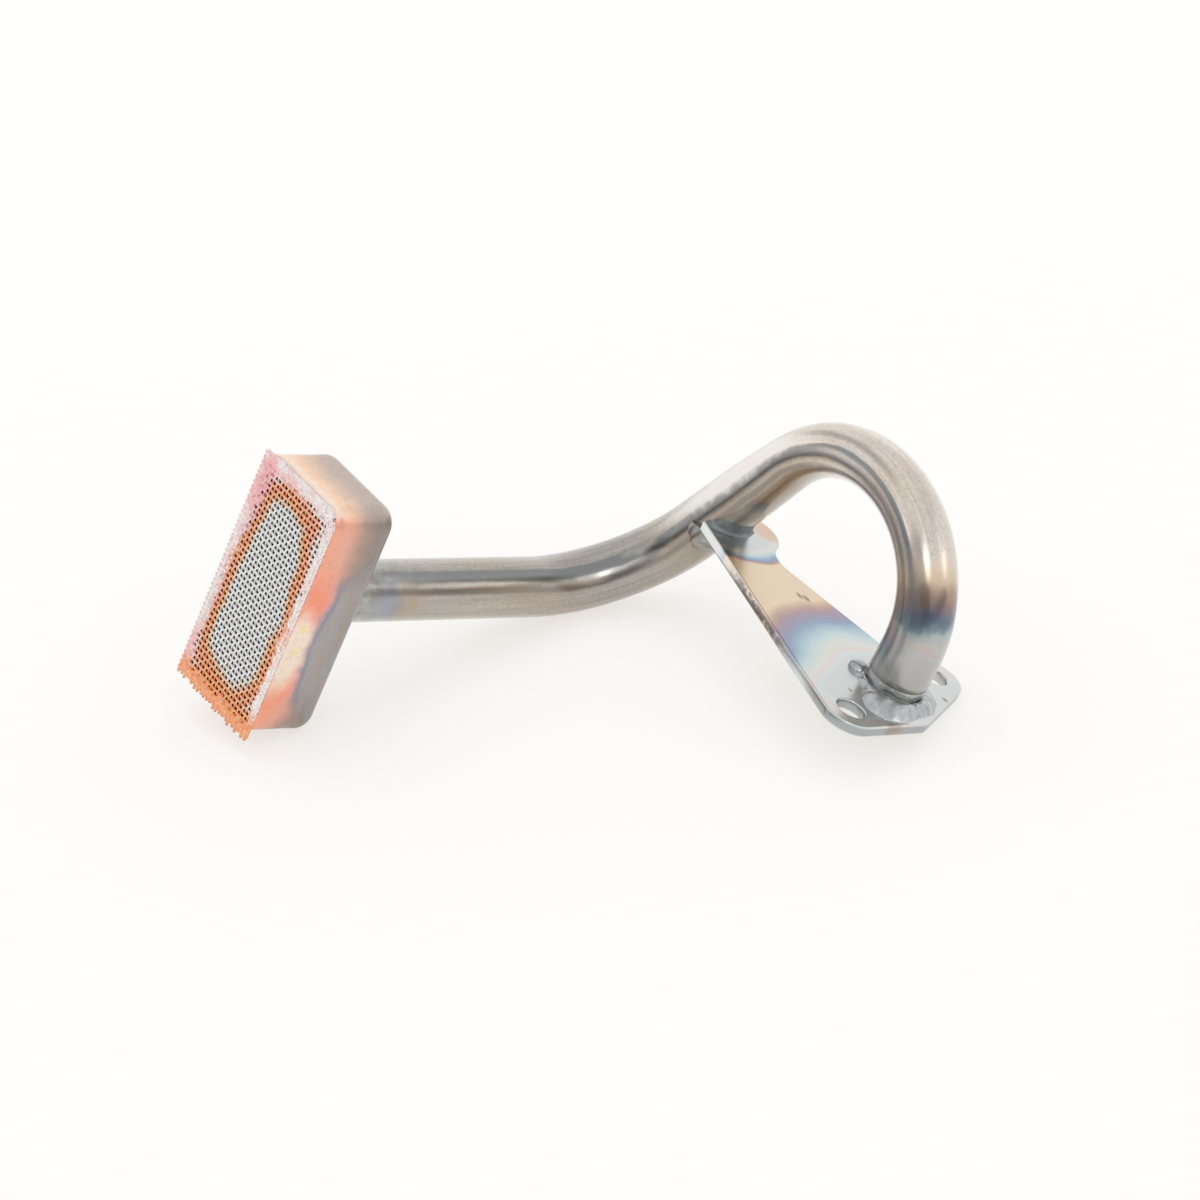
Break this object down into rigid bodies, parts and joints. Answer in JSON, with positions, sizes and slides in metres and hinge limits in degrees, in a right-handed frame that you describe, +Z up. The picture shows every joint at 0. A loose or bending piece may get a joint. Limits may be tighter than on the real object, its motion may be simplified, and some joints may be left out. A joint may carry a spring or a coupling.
{
  "type": "oil pickup tube",
  "caption": "Bent steel oil pickup tube: a screened strainer cup at the inlet, a hooked pipe, and a bolt-on flange whose arm is welded back to the pipe.",
  "frame": {"origin": "centre of the overall box's base, on the ground that the part lies on", "axes": "+X runs with the inlet leg over the ground, from the strainer towards the first bend; +Z is up"},
  "size_m": [0.2215, 0.189, 0.0992],
  "materials": {
    "cup_steel": "satin, copper-stained towards the rim",
    "screen_wire": "woven wire, copper-stained at the edges",
    "braze": "rough braze metal",
    "pipe_steel": "drawn steel with heat tints",
    "plate_steel": "rolled steel with heat tints",
    "weld_metal": "bright weld bead"
  },
  "bodies": {
    "root": {"strainer_cup": "cup_steel", "strainer_screen": "screen_wire", "rim_braze": "braze", "inlet_fillet_ring": "cup_steel", "suction_pipe": "pipe_steel", "flange_bracket": "plate_steel", "flange_weld": "weld_metal", "saddle_weld_upper": "weld_metal", "saddle_weld_lower": "weld_metal"}
  },
  "joints": []
}
